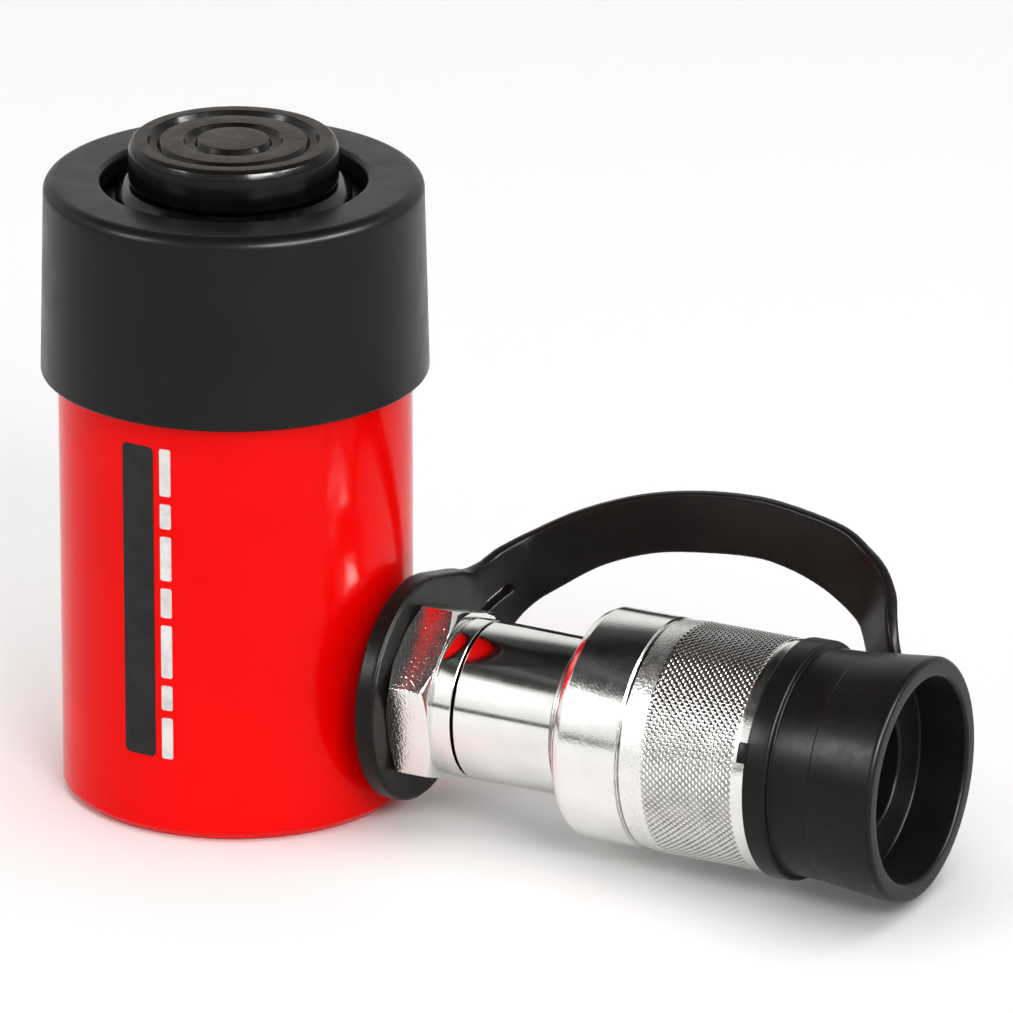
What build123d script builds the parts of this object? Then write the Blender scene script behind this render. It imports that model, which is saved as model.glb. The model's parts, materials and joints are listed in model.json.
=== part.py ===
from build123d import *
import math
import os

os.makedirs("parts", exist_ok=True)

# Short single-acting, spring-return hydraulic cylinder with a screw-on quick
# coupler at its port. Millimetres. Z is the cylinder's axis and points up; the
# origin is the centre of the base's underside; the coupler leaves along +X.

# ---------------------------------------------------------------- dimensions
# barrel
barrel_r = 57.15 / 2        # 2 1/4 in tube
barrel_top = 100.0
base_chamfer = 1.5
bore_r = 42.9 / 2
bore_floor = 31.2           # step where the full bore starts
chamber_r = 17.0            # narrower oil chamber round the plunger's nose
chamber_floor = 14.0
gland_r = 23.5              # threaded recess for the stop ring
gland_floor = 90.2
collar_pitch = 25.4 / 14    # collar thread, 14 per inch
collar_grooves = 13
collar_depth = 0.95
bolt_pcd = 39.6             # base holes, tapped 5/16-18
bolt_r = 3.3
bolt_depth = 12.7

# plunger
stroke = 44.0
rod_r = 38.1 / 2
rod_top = 102.8
nose_r = 15.5
nose_bottom = 14.3
piston_r = 21.15
piston_bottom = 31.5
piston_top = 46.5
cavity_r = 11.6
cavity_top = 77.5
thread_r = 11.1             # minor radius of the 1 in - 8 saddle thread
thread_bottom = 83.8

# stop ring, standing one stroke above the piston
ring_bottom = piston_top + stroke + 0.2
ring_top = 99.0
ring_inner_r = 19.6

# saddle and cap
saddle_r = 16.9
saddle_top = 110.0
cap_bottom = 71.3
cap_top = 103.5
cap_r_low = 31.35
cap_r_high = 30.6
cap_hole_r = 21.4
cap_bore_r = barrel_r + 0.33

# coupler, turned about an axis parallel to X at this height
axis_z = 21.6
port_r = 8.4
neck_r = 9.8
hex_flats = 27.0
hex_turn = -19.6   # a corner sits this far above the side that faces -Y
shell_r = 12.94
sleeve_r = 18.85
sleeve_bore_r = 15.9
socket_r = 9.25
socket_floor = 80.0
housing_front = 91.0
sleeve_back = 65.0
sleeve_front = 101.5
mouth_r = 16.7
cup_end = 123.0

# return spring
spring_r = 9.9
spring_wire_r = 1.25
spring_pitch = 3.9
spring_turns = 15

coupler_axis = Axis((0, 0, axis_z), (1, 0, 0))


def lift(points):
    """(distance along X, radius) pairs moved up to the coupler's axis."""
    return [(s, axis_z + r) for s, r in points]


# ------------------------------------------------------------------- barrel
with BuildPart() as cylinder_barrel:
    with BuildSketch(Plane.XZ) as barrel_section:
        outline = [
            (0, 0), (barrel_r - base_chamfer, 0), (barrel_r, base_chamfer),
        ]
        # the collar thread, as rings of its own pitch and depth
        z = 74.6
        outline.append((barrel_r, z - 0.85))
        for _ in range(collar_grooves):
            outline += [
                (barrel_r, z - 0.75), (barrel_r - collar_depth, z), (barrel_r, z + 0.75),
            ]
            z += collar_pitch
        outline += [
            (barrel_r, barrel_top - 1.1), (barrel_r - 1.1, barrel_top), (gland_r, barrel_top),
            (gland_r, gland_floor), (bore_r, gland_floor), (bore_r, bore_floor),
            (chamber_r, bore_floor), (chamber_r, chamber_floor), (0, chamber_floor),
        ]
        Polygon(*outline, align=None)
    revolve(axis=Axis.Z)
    # port: tapped 3/8 NPT, then the oil way into the chamber
    with BuildSketch(Plane(origin=(34, 0, axis_z), x_dir=(0, 1, 0), z_dir=(-1, 0, 0))):
        Circle(port_r)
    extrude(amount=34 - 18.6, mode=Mode.SUBTRACT)
    with BuildSketch(Plane(origin=(20, 0, axis_z), x_dir=(0, 1, 0), z_dir=(-1, 0, 0))):
        Circle(4.0)
    extrude(amount=8, mode=Mode.SUBTRACT)
    # centre screw for the return spring, and the two mounting holes
    with Locations(Plane(origin=(0, 0, 0), x_dir=(1, 0, 0), z_dir=(0, 0, -1))):
        CounterBoreHole(radius=4.2, counter_bore_radius=7.5, counter_bore_depth=8.5, depth=20)
    with Locations(Plane(origin=(0, 0, 0), x_dir=(1, 0, 0), z_dir=(0, 0, -1))):
        with GridLocations(1, bolt_pcd, 1, 2):
            Hole(radius=bolt_r, depth=bolt_depth)
cylinder_barrel.part.label = "cylinder_barrel"
export_step(cylinder_barrel.part, "parts/cylinder_barrel.step")

# printed marking: a dark bar and a light line down the side
for name, start, arc in (("side_decal_bar", -100.9, 11.6), ("side_decal_line", -87.6, 5.4)):
    a = math.radians(start)
    with BuildPart() as decal:
        with BuildSketch(Plane(origin=(0, 0, 0), x_dir=(math.cos(a), math.sin(a), 0),
                               z_dir=(math.sin(a), -math.cos(a), 0))):
            with Locations((barrel_r + 0.06, 40.2)):
                Rectangle(0.12, 53.0)
        revolve(axis=Axis.Z, revolution_arc=arc)
    decal.part.label = name
    export_step(decal.part, "parts/" + name + ".step")

# ---------------------------------------------------------------- gland end
with BuildPart() as stop_ring:
    with BuildSketch(Plane.XZ):
        Polygon(*[
            (ring_inner_r, ring_bottom), (gland_r - 0.05, ring_bottom), (gland_r - 0.05, ring_top - 0.5),
            (gland_r - 0.55, ring_top), (21.2, ring_top), (21.2, 96.2), (ring_inner_r, 96.2),
            (ring_inner_r, 95.4), (20.7, 95.4), (20.7, 91.6), (ring_inner_r, 91.6),
        ], align=None)
    revolve(axis=Axis.Z)
    # spanner slots
    with BuildSketch(Plane.XY.offset(ring_top)):
        Rectangle(60, 4)
    extrude(amount=-2.2, mode=Mode.SUBTRACT)
stop_ring.part.label = "stop_ring"
export_step(stop_ring.part, "parts/stop_ring.step")

with BuildPart() as rod_guide_band:
    with BuildSketch(Plane.XZ):
        Polygon(*[(rod_r + 0.05, 91.65), (20.65, 91.65), (20.65, 95.35), (rod_r + 0.05, 95.35)], align=None)
    revolve(axis=Axis.Z)
rod_guide_band.part.label = "rod_guide_band"
export_step(rod_guide_band.part, "parts/rod_guide_band.step")

with BuildPart() as rod_wiper:
    with BuildSketch(Plane.XZ):
        Polygon(*[
            (rod_r + 0.3, 96.25), (21.1, 96.25), (21.1, 98.9), (20.2, 99.0), (19.5, 99.9),
            (rod_r + 0.05, 99.9), (rod_r + 0.05, 98.6), (rod_r + 0.3, 97.6),
        ], align=None)
    revolve(axis=Axis.Z)
rod_wiper.part.label = "rod_wiper"
export_step(rod_wiper.part, "parts/rod_wiper.step")

# ------------------------------------------------------------------ plunger
with BuildPart() as plunger:
    with BuildSketch(Plane.XZ):
        Polygon(*[
            (cavity_r, nose_bottom), (nose_r - 1, nose_bottom), (nose_r, nose_bottom + 1),
            (nose_r, piston_bottom), (piston_r - 0.6, piston_bottom), (piston_r, piston_bottom + 0.6),
            (piston_r, 33.2), (17.6, 33.2), (17.6, 39.8), (piston_r, 39.8),
            (piston_r, 41.4), (19.4, 41.4), (19.4, 45.0), (piston_r, 45.0),
            (piston_r, piston_top - 0.4), (piston_r - 0.4, piston_top),
            (rod_r, piston_top), (rod_r, rod_top - 1.5), (rod_r - 1.5, rod_top),
            (thread_r + 1.2, rod_top), (thread_r, rod_top - 1.2), (thread_r, thread_bottom),
            (4.3, thread_bottom), (4.3, cavity_top), (cavity_r, cavity_top),
        ], align=None)
    revolve(axis=Axis.Z)
plunger.part.label = "plunger"
export_step(plunger.part, "parts/plunger.step")

with BuildPart() as piston_u_cup:
    with BuildSketch(Plane.XZ):
        Polygon(*[
            (17.65, 33.3), (18.5, 33.3), (19.5, 35.7), (20.5, 33.3), (bore_r - 0.07, 33.3),
            (bore_r - 0.07, 38.1), (17.65, 38.1),
        ], align=None)
    revolve(axis=Axis.Z)
piston_u_cup.part.label = "piston_u_cup"
export_step(piston_u_cup.part, "parts/piston_u_cup.step")

with BuildPart() as piston_backup_ring:
    with BuildSketch(Plane.XZ):
        Polygon(*[(17.65, 38.2), (bore_r - 0.09, 38.2), (bore_r - 0.09, 39.7), (17.65, 39.7)], align=None)
    revolve(axis=Axis.Z)
piston_backup_ring.part.label = "piston_backup_ring"
export_step(piston_backup_ring.part, "parts/piston_backup_ring.step")

with BuildPart() as piston_bearing_ring:
    with BuildSketch(Plane.XZ):
        Polygon(*[(19.45, 41.5), (bore_r - 0.06, 41.5), (bore_r - 0.06, 44.9), (19.45, 44.9)], align=None)
    revolve(axis=Axis.Z)
    # scarf gap of the split ring
    with BuildSketch(Plane.XY.offset(41)):
        with Locations((-20.4, 0)):
            Rectangle(6, 1.0)
    extrude(amount=5, mode=Mode.SUBTRACT)
piston_bearing_ring.part.label = "piston_bearing_ring"
export_step(piston_bearing_ring.part, "parts/piston_bearing_ring.step")

# ------------------------------------------------- return spring and anchors
with BuildPart() as lower_spring_anchor:
    with BuildSketch(Plane.XY.offset(chamber_floor)):
        Circle(8.2)
    extrude(amount=11.5)
    with BuildSketch(Plane.XY.offset(chamber_floor)):
        Circle(4.05)
    extrude(amount=8.6, mode=Mode.SUBTRACT)
    chamfer(lower_spring_anchor.faces().sort_by(Axis.Z)[-1].edges(), 0.8)
lower_spring_anchor.part.label = "lower_spring_anchor"
export_step(lower_spring_anchor.part, "parts/lower_spring_anchor.step")

with BuildPart() as anchor_seal_washer:
    with BuildSketch(Plane.XY.offset(7.0)):
        Circle(7.3)
        Circle(4.25, mode=Mode.SUBTRACT)
    extrude(amount=1.5)
anchor_seal_washer.part.label = "anchor_seal_washer"
export_step(anchor_seal_washer.part, "parts/anchor_seal_washer.step")

with BuildPart() as base_anchor_screw:
    with BuildSketch(Plane.XY.offset(1.0)):
        Circle(6.5)
    extrude(amount=6.0)
    chamfer(base_anchor_screw.edges().group_by(Axis.Z)[0], 0.5)
    with BuildSketch(Plane.XY.offset(7.0)):
        Circle(4.0)
    extrude(amount=15.0)
    chamfer(base_anchor_screw.edges().group_by(Axis.Z)[-1], 0.7)
    with BuildSketch(Plane.XY.offset(1.0)):
        RegularPolygon(radius=3.0, side_count=6, major_radius=False)
    extrude(amount=4.0, mode=Mode.SUBTRACT)
base_anchor_screw.part.label = "base_anchor_screw"
export_step(base_anchor_screw.part, "parts/base_anchor_screw.step")

with BuildPart() as upper_spring_anchor:
    with BuildSketch(Plane.XY.offset(66.0)):
        Circle(8.2)
    extrude(amount=cavity_top - 66.0)
    with BuildSketch(Plane.XY.offset(69.5)):
        Circle(4.05)
    extrude(amount=cavity_top - 69.5, mode=Mode.SUBTRACT)
    chamfer(upper_spring_anchor.faces().sort_by(Axis.Z)[0].edges(), 0.8)
upper_spring_anchor.part.label = "upper_spring_anchor"
export_step(upper_spring_anchor.part, "parts/upper_spring_anchor.step")

with BuildPart() as upper_anchor_screw:
    with BuildSketch(Plane.XY.offset(thread_bottom)):
        Circle(6.5)
    extrude(amount=6.0)
    chamfer(upper_anchor_screw.edges().group_by(Axis.Z)[-1], 0.5)
    with BuildSketch(Plane.XY.offset(70.2)):
        Circle(4.0)
    extrude(amount=thread_bottom - 70.2)
    with BuildSketch(Plane.XY.offset(thread_bottom + 6.0)):
        RegularPolygon(radius=3.0, side_count=6, major_radius=False)
    extrude(amount=-4.0, mode=Mode.SUBTRACT)
upper_anchor_screw.part.label = "upper_anchor_screw"
export_step(upper_anchor_screw.part, "parts/upper_anchor_screw.step")

with BuildPart() as return_spring:
    with BuildLine() as spring_path:
        Helix(pitch=spring_pitch, height=spring_pitch * spring_turns, radius=spring_r, center=(0, 0, 16.2))
    with BuildSketch(Plane(origin=spring_path.line @ 0, z_dir=spring_path.line % 0)):
        Circle(spring_wire_r)
    sweep(path=spring_path.line, is_frenet=True)
return_spring.part.label = "return_spring"
export_step(return_spring.part, "parts/return_spring.step")

# ------------------------------------------------------------------- saddle
with BuildPart() as saddle:
    with BuildSketch(Plane.XZ):
        Polygon(*[
            (0, 92.0), (9.8, 92.0), (10.6, 92.8), (10.6, 95.9), (9.5, 95.9), (9.5, 97.7), (10.6, 97.7),
            (10.6, rod_top), (saddle_r - 0.6, rod_top), (saddle_r, rod_top + 0.6),
            (saddle_r, saddle_top - 0.6), (saddle_r - 0.6, saddle_top),
            (14.9, saddle_top), (14.0, saddle_top - 1.1), (12.6, saddle_top - 1.1), (12.1, saddle_top - 0.15),
            (8.7, saddle_top - 0.15), (8.2, saddle_top - 1.0), (6.9, saddle_top - 1.0), (6.4, saddle_top),
            (0, saddle_top),
        ], align=None)
    revolve(axis=Axis.Z)
saddle.part.label = "saddle"
export_step(saddle.part, "parts/saddle.step")

with BuildPart() as saddle_retaining_ring:
    with BuildSketch(Plane.XZ):
        with Locations((10.18, 96.8)):
            Circle(0.68)
    revolve(axis=Axis.Z)
saddle_retaining_ring.part.label = "saddle_retaining_ring"
export_step(saddle_retaining_ring.part, "parts/saddle_retaining_ring.step")

# --------------------------------------------------------- thread protector
with BuildPart() as thread_protector:
    with BuildSketch(Plane.XZ):
        Polygon(*[
            (cap_bore_r, cap_bottom), (cap_r_low - 0.4, cap_bottom), (cap_r_low, cap_bottom + 0.4),
            (cap_r_high, cap_top), (cap_hole_r, cap_top), (cap_hole_r, 100.3),
            (cap_bore_r, 100.3),
        ], align=None)
    revolve(axis=Axis.Z)
    top_edges = thread_protector.edges().filter_by(GeomType.CIRCLE).group_by(Axis.Z)[-1].sort_by(SortBy.RADIUS)
    fillet(top_edges[-1], 4.0)
    top_edges = thread_protector.edges().filter_by(GeomType.CIRCLE).group_by(Axis.Z)[-1].sort_by(SortBy.RADIUS)
    fillet(top_edges[0], 0.7)
thread_protector.part.label = "thread_protector"
export_step(thread_protector.part, "parts/thread_protector.step")

# ------------------------------------------------------------------ coupler
with BuildPart() as coupler_adapter:
    with BuildSketch(Plane.XZ):
        Polygon(*lift([
            (19.0, 4.0), (19.0, 7.6), (19.8, 8.2), (28.7, port_r - 0.05), (28.7, neck_r), (34.3, neck_r),
            (34.3, 12.0), (41.7, 12.0), (41.7, shell_r), (45.1, shell_r), (45.3, shell_r - 0.2),
            (45.3, 9.4), (56.0, 9.4), (56.0, 4.0),
        ]), align=None)
    revolve(axis=coupler_axis)
    with BuildSketch(Plane(origin=(34.3, 0, axis_z), x_dir=(0, 1, 0), z_dir=(1, 0, 0))):
        RegularPolygon(radius=hex_flats / 2, side_count=6, major_radius=False, rotation=hex_turn)
        Circle(11.0, mode=Mode.SUBTRACT)
    extrude(amount=7.4)
    # the chamfer that rounds the hexagon's corners, both ends
    with BuildSketch(Plane.XZ):
        Polygon(*lift([(34.0, 13.3), (34.0, 18.0), (37.0, 18.0), (35.9, 16.0)]), align=None)
        Polygon(*lift([(42.0, 13.3), (42.0, 18.0), (39.0, 18.0), (40.1, 16.0)]), align=None)
    revolve(axis=coupler_axis, mode=Mode.SUBTRACT)
coupler_adapter.part.label = "coupler_adapter"
export_step(coupler_adapter.part, "parts/coupler_adapter.step")

with BuildPart() as coupler_housing:
    with BuildSketch(Plane.XZ):
        Polygon(*lift([
            (45.8, 9.45), (45.8, shell_r - 0.2), (46.0, shell_r), (63.1, shell_r), (63.1, 12.3),
            (64.1, 12.3), (64.1, shell_r), (69.9, shell_r), (69.9, 15.4), (72.4, 15.4), (72.4, 13.2),
            (90.2, 13.2), (housing_front, 12.4), (housing_front, socket_r + 0.5),
            (housing_front - 0.5, socket_r), (86.7, socket_r), (86.7, 11.3), (83.5, 11.3),
            (83.5, socket_r), (socket_floor, socket_r), (socket_floor, 4.8), (78.6, 4.8), (76.0, 7.6),
            (57.0, 7.6), (57.0, 9.45),
        ]), align=None)
    revolve(axis=coupler_axis)
coupler_housing.part.label = "coupler_housing"
export_step(coupler_housing.part, "parts/coupler_housing.step")

with BuildPart() as coupler_joint_seal:
    with BuildSketch(Plane.XZ):
        Polygon(*lift([(56.05, 7.7), (56.05, 9.35), (56.95, 9.35), (56.95, 7.7)]), align=None)
    revolve(axis=coupler_axis)
coupler_joint_seal.part.label = "coupler_joint_seal"
export_step(coupler_joint_seal.part, "parts/coupler_joint_seal.step")

with BuildPart() as sleeve_snap_ring:
    with BuildSketch(Plane.XZ):
        Polygon(*lift([(63.2, 12.35), (63.2, 13.2), (63.4, 13.4), (63.8, 13.4), (64.0, 13.2), (64.0, 12.35)]), align=None)
    revolve(axis=coupler_axis)
    # gap of the split ring, underneath
    with BuildSketch(Plane(origin=(62, 0, axis_z), x_dir=(0, 1, 0), z_dir=(1, 0, 0))):
        with Locations((0, -13)):
            Rectangle(3, 4)
    extrude(amount=4, mode=Mode.SUBTRACT)
sleeve_snap_ring.part.label = "sleeve_snap_ring"
export_step(sleeve_snap_ring.part, "parts/sleeve_snap_ring.step")

with BuildPart() as valve_guide:
    with BuildSketch(Plane(origin=(57.3, 0, axis_z), x_dir=(0, 1, 0), z_dir=(1, 0, 0))):
        Circle(7.5)
        Circle(2.08, mode=Mode.SUBTRACT)
        with PolarLocations(4.9, 3):
            Circle(1.5, mode=Mode.SUBTRACT)
    extrude(amount=2.9)
valve_guide.part.label = "valve_guide"
export_step(valve_guide.part, "parts/valve_guide.step")

with BuildPart() as valve_poppet:
    with BuildSketch(Plane.XZ):
        Polygon(*lift([
            (61.0, 0), (61.0, 2.0), (73.8, 2.0), (73.8, 6.5), (76.1, 6.5), (76.9, 5.6),
            (76.9, 4.4), (77.7, 4.4), (77.7, 4.6), (78.4, 4.2), (79.8, 4.2), (79.8, 0),
        ]), align=None)
    revolve(axis=coupler_axis)
    # the stem runs back through the guide
    with BuildSketch(Plane(origin=(61.5, 0, axis_z), x_dir=(0, 1, 0), z_dir=(-1, 0, 0))):
        Circle(2.0)
    extrude(amount=5.0)
valve_poppet.part.label = "valve_poppet"
export_step(valve_poppet.part, "parts/valve_poppet.step")

with BuildPart() as poppet_seal:
    with BuildSketch(Plane.XZ):
        Polygon(*lift([(76.95, 4.45), (76.95, 5.6), (77.1, 5.75), (77.65, 5.2), (77.65, 4.45)]), align=None)
    revolve(axis=coupler_axis)
poppet_seal.part.label = "poppet_seal"
export_step(poppet_seal.part, "parts/poppet_seal.step")

with BuildPart() as valve_spring:
    with BuildLine() as valve_path:
        Helix(pitch=2.3, height=2.3 * 5, radius=4.4, center=(61.1, 0, axis_z), direction=(1, 0, 0))
    with BuildSketch(Plane(origin=valve_path.line @ 0, z_dir=valve_path.line % 0)):
        Circle(0.5)
    sweep(path=valve_path.line, is_frenet=True)
valve_spring.part.label = "valve_spring"
export_step(valve_spring.part, "parts/valve_spring.step")

with BuildPart() as socket_o_ring:
    with BuildSketch(Plane.XZ):
        Polygon(*lift([
            (83.6, 10.0), (83.6, 10.8), (84.0, 11.25), (84.9, 11.25), (85.3, 10.8), (85.3, 10.0),
            (84.9, socket_r + 0.3), (84.0, socket_r + 0.3),
        ]), align=None)
    revolve(axis=coupler_axis)
socket_o_ring.part.label = "socket_o_ring"
export_step(socket_o_ring.part, "parts/socket_o_ring.step")

with BuildPart() as socket_backup_ring:
    with BuildSketch(Plane.XZ):
        Polygon(*lift([(85.4, socket_r + 0.3), (85.4, 11.25), (86.6, 11.25), (86.6, socket_r + 0.3)]), align=None)
    revolve(axis=coupler_axis)
socket_backup_ring.part.label = "socket_backup_ring"
export_step(socket_backup_ring.part, "parts/socket_backup_ring.step")

with BuildPart() as coupler_sleeve:
    with BuildSketch(Plane.XZ):
        Polygon(*lift([
            (sleeve_back, shell_r + 0.06), (sleeve_back, 16.2), (66.6, 18.1), (68.4, sleeve_r),
            (77.7, sleeve_r), (77.9, sleeve_r - 0.4), (78.3, sleeve_r - 0.4), (78.5, sleeve_r),
            (98.9, sleeve_r), (sleeve_front, 17.6), (sleeve_front, sleeve_bore_r + 0.4),
            (sleeve_front - 0.4, sleeve_bore_r), (69.5, sleeve_bore_r), (69.5, shell_r + 0.06),
        ]), align=None)
    revolve(axis=coupler_axis)
coupler_sleeve.part.label = "coupler_sleeve"
export_step(coupler_sleeve.part, "parts/coupler_sleeve.step")

# ----------------------------------------------------------- cap and strap
with BuildPart() as dust_cap:
    with BuildSketch(Plane.XZ):
        Polygon(*lift([
            (92.0, 12.5), (92.0, 15.0), (92.5, 15.5), (101.8, 15.5), (101.8, 19.0), (102.2, 19.4),
            (103.8, 19.4), (104.3, 19.0), (104.6, 18.3), (111.5, 18.8), (122.4, 20.0), (cup_end, 19.5),
            (cup_end, mouth_r), (114.5, mouth_r), (114.5, 9.5), (104.0, 9.5), (104.0, 0),
            (101.4, 0), (101.4, 12.5),
        ]), align=None)
    revolve(axis=coupler_axis)
dust_cap.part.label = "dust_cap"
export_step(dust_cap.part, "parts/dust_cap.step")

# the strap: a ring behind the hexagon, and a band that stands on edge, leaves
# the ring towards +Y, climbs over behind the coupler and comes down to the
# cup's far side. Each station is a centre, and the band's half width vector.
band_t = 2.2
ring_back, ring_t, ring_r = 30.9, 3.3, 18.5
stations = [
    ((32.7, 17.0, 26.1), (0, 0, 10.6)),
    ((33.6, 23.5, 28.3), (0, 0, 8.0)),
    ((35.5, 28.5, 31.0), (0, 0, 6.2)),
    ((39.5, 32.5, 33.7), (0, 0, 5.4)),
    ((46.8, 35.2, 37.9), (0.2, 0, 5.0)),
    ((56.2, 36.5, 41.4), (-0.2, 0, 5.0)),
    ((66.0, 36.8, 43.3), (0, 0, 5.2)),
    ((76.0, 36.0, 44.4), (0, 0, 5.2)),
    ((83.5, 34.8, 44.1), (1.0, 0, 5.2)),
    ((91.1, 33.2, 42.8), (2.4, 0, 5.1)),
    ((95.7, 31.4, 41.2), (2.8, 0, 4.6)),
    ((99.2, 29.5, 39.7), (3.2, -0.7, 4.3)),
    ((101.8, 27.5, 37.7), (3.4, -1.7, 3.75)),
    ((103.4, 25.2, 35.6), (3.4, -2.4, 3.25)),
    ((104.8, 23.2, 33.2), (3.5, -2.6, 2.5)),
    ((105.8, 21.9, 29.4), (4.1, -2.0, 1.3)),
    ((106.4, 21.0, 24.6), (4.6, -1.4, 0.4)),
]


def band_planes():
    planes = []
    for i, (c, w) in enumerate(stations):
        c, w = Vector(*c), Vector(*w)
        before = Vector(*stations[max(i - 1, 0)][0])
        after = Vector(*stations[min(i + 1, len(stations) - 1)][0])
        t = (after - before).normalized()
        w_dir = (w - t * w.dot(t)).normalized()
        planes.append((Plane(origin=c, x_dir=w_dir, z_dir=t), w.length * 2))
    return planes


with BuildPart() as dust_cap_strap:
    with BuildSketch(Plane(origin=(ring_back, 0, axis_z), x_dir=(0, 1, 0), z_dir=(1, 0, 0))):
        Circle(ring_r)
        # the tab runs out of the ring tangent to its rim, on the side that the band leaves
        Polygon((4.9, 17.8), (12.5, 15.8), (20.0, 14.8), (20.0, -4.4), (13.4, -12.7), align=None)
        Circle(neck_r + 0.3, mode=Mode.SUBTRACT)
    extrude(amount=ring_t)
    for plane, width in band_planes():
        with BuildSketch(plane):
            Rectangle(width, band_t)
    loft(ruled=True)
dust_cap_strap.part.label = "dust_cap_strap"
export_step(dust_cap_strap.part, "parts/dust_cap_strap.step")
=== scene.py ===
import json
import math

import bpy
import bmesh
import numpy as np
from mathutils import Matrix, Vector


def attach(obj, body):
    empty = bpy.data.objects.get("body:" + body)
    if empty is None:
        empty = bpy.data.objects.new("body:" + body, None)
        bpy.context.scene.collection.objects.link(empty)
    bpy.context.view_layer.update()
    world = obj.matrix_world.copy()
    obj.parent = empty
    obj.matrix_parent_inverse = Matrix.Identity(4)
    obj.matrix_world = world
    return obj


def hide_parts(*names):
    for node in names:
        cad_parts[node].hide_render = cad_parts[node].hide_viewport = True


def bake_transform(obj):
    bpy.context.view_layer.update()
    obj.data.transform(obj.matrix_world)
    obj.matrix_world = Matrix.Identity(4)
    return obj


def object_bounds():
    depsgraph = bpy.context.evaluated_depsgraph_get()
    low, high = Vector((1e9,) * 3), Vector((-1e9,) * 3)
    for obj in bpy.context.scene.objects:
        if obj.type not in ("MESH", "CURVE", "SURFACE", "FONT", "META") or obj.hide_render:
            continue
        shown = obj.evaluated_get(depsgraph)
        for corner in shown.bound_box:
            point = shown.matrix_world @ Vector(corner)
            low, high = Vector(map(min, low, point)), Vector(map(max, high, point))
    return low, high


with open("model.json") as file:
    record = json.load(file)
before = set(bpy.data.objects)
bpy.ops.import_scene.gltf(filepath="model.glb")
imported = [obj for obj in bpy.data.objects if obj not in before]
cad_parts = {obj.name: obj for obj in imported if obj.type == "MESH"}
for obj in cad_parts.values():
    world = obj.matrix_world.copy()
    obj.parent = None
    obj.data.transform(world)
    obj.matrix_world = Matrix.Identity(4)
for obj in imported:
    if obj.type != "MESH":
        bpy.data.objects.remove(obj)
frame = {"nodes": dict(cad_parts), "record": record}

cad_lo, cad_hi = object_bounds()
MM = 0.001
AXIS_Z = 21.6          # height of the coupler's axis, mm
BARREL_R = 28.575
TAU = math.tau


# =====================================================================
# mesh helpers (all sizes in mm, meshes in metres)
# =====================================================================
def rounded(points, step=14.0):
    """Closed outline with its corners filleted: points are (s, r) or (s, r, fillet)."""
    out = []
    n = len(points)
    for i, p in enumerate(points):
        f = p[2] if len(p) > 2 else 0.0
        cur = np.array(p[:2], float)
        prev = np.array(points[i - 1][:2], float)
        nxt = np.array(points[(i + 1) % n][:2], float)
        a, b = prev - cur, nxt - cur
        la, lb = np.linalg.norm(a), np.linalg.norm(b)
        if f <= 0 or la < 1e-9 or lb < 1e-9:
            out.append(tuple(cur))
            continue
        a, b = a / la, b / lb
        ang = math.acos(max(-1.0, min(1.0, float(a @ b))))
        if ang > math.radians(178) or ang < math.radians(2):
            out.append(tuple(cur))
            continue
        t = min(f / math.tan(ang / 2), 0.49 * la, 0.49 * lb)
        r = t * math.tan(ang / 2)
        centre = cur + (a + b) / np.linalg.norm(a + b) * (r / math.sin(ang / 2))
        p0, p1 = cur + a * t - centre, cur + b * t - centre
        sweep = math.pi - ang
        k = max(2, int(math.ceil(math.degrees(sweep) / step)))
        for j in range(k + 1):
            u = j / k
            w0 = math.sin((1 - u) * sweep) / math.sin(sweep)
            w1 = math.sin(u * sweep) / math.sin(sweep)
            out.append(tuple(centre + p0 * w0 + p1 * w1))
    return out


def new_object(name, verts, faces, sharp=32.0):
    me = bpy.data.meshes.new(name)
    me.from_pydata([tuple(v) for v in verts], [], faces)
    me.update()
    bm = bmesh.new()
    bm.from_mesh(me)
    bmesh.ops.remove_doubles(bm, verts=bm.verts, dist=1e-7)
    bmesh.ops.recalc_face_normals(bm, faces=bm.faces)
    bm.to_mesh(me)
    bm.free()
    ob = bpy.data.objects.new(name, me)
    bpy.context.scene.collection.objects.link(ob)
    finish_shading(ob, sharp)
    return ob


def finish_shading(ob, sharp=32.0):
    ob.data.shade_smooth()
    ob.data.set_sharp_from_angle(angle=math.radians(sharp))
    ob.data.update()


def turned(name, outline, axis="Z", n=192, radial=None, sharp=32.0, z0=AXIS_Z):
    """Body of revolution from a closed outline of (s, r). radial(theta, s, r) may change r."""
    th = np.arange(n) * TAU / n
    verts, loops = [], []
    for s, r in outline:
        if r < 1e-6:
            loops.append([len(verts)])
            verts.append((0, 0, s) if axis == "Z" else (s, 0, z0))
            continue
        rr = radial(th, s, r) if radial else np.full(n, r)
        c, d = rr * np.cos(th), rr * np.sin(th)
        start = len(verts)
        if axis == "Z":
            verts += list(zip(c, d, np.full(n, s)))
        else:
            verts += list(zip(np.full(n, s), c, z0 + d))
        loops.append(list(range(start, start + n)))
    faces = []
    m = len(loops)
    for i in range(m):
        a, b = loops[i], loops[(i + 1) % m]
        if len(a) == 1 and len(b) == 1:
            continue
        for k in range(n):
            k2 = (k + 1) % n
            if len(a) == 1:
                faces.append((a[0], b[k], b[k2]))
            elif len(b) == 1:
                faces.append((a[k], b[0], a[k2]))
            else:
                faces.append((a[k], b[k], b[k2], a[k2]))
    return new_object(name, np.array(verts, float) * MM, faces, sharp)


def prism(name, ring0, ring1):
    """Closed solid between two polygons with the same number of points (mm)."""
    n = len(ring0)
    faces = [tuple(range(n))[::-1], tuple(range(n, 2 * n))]
    faces += [(i, (i + 1) % n, n + (i + 1) % n, n + i) for i in range(n)]
    return new_object(name, np.array(list(ring0) + list(ring1), float) * MM, faces)


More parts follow.
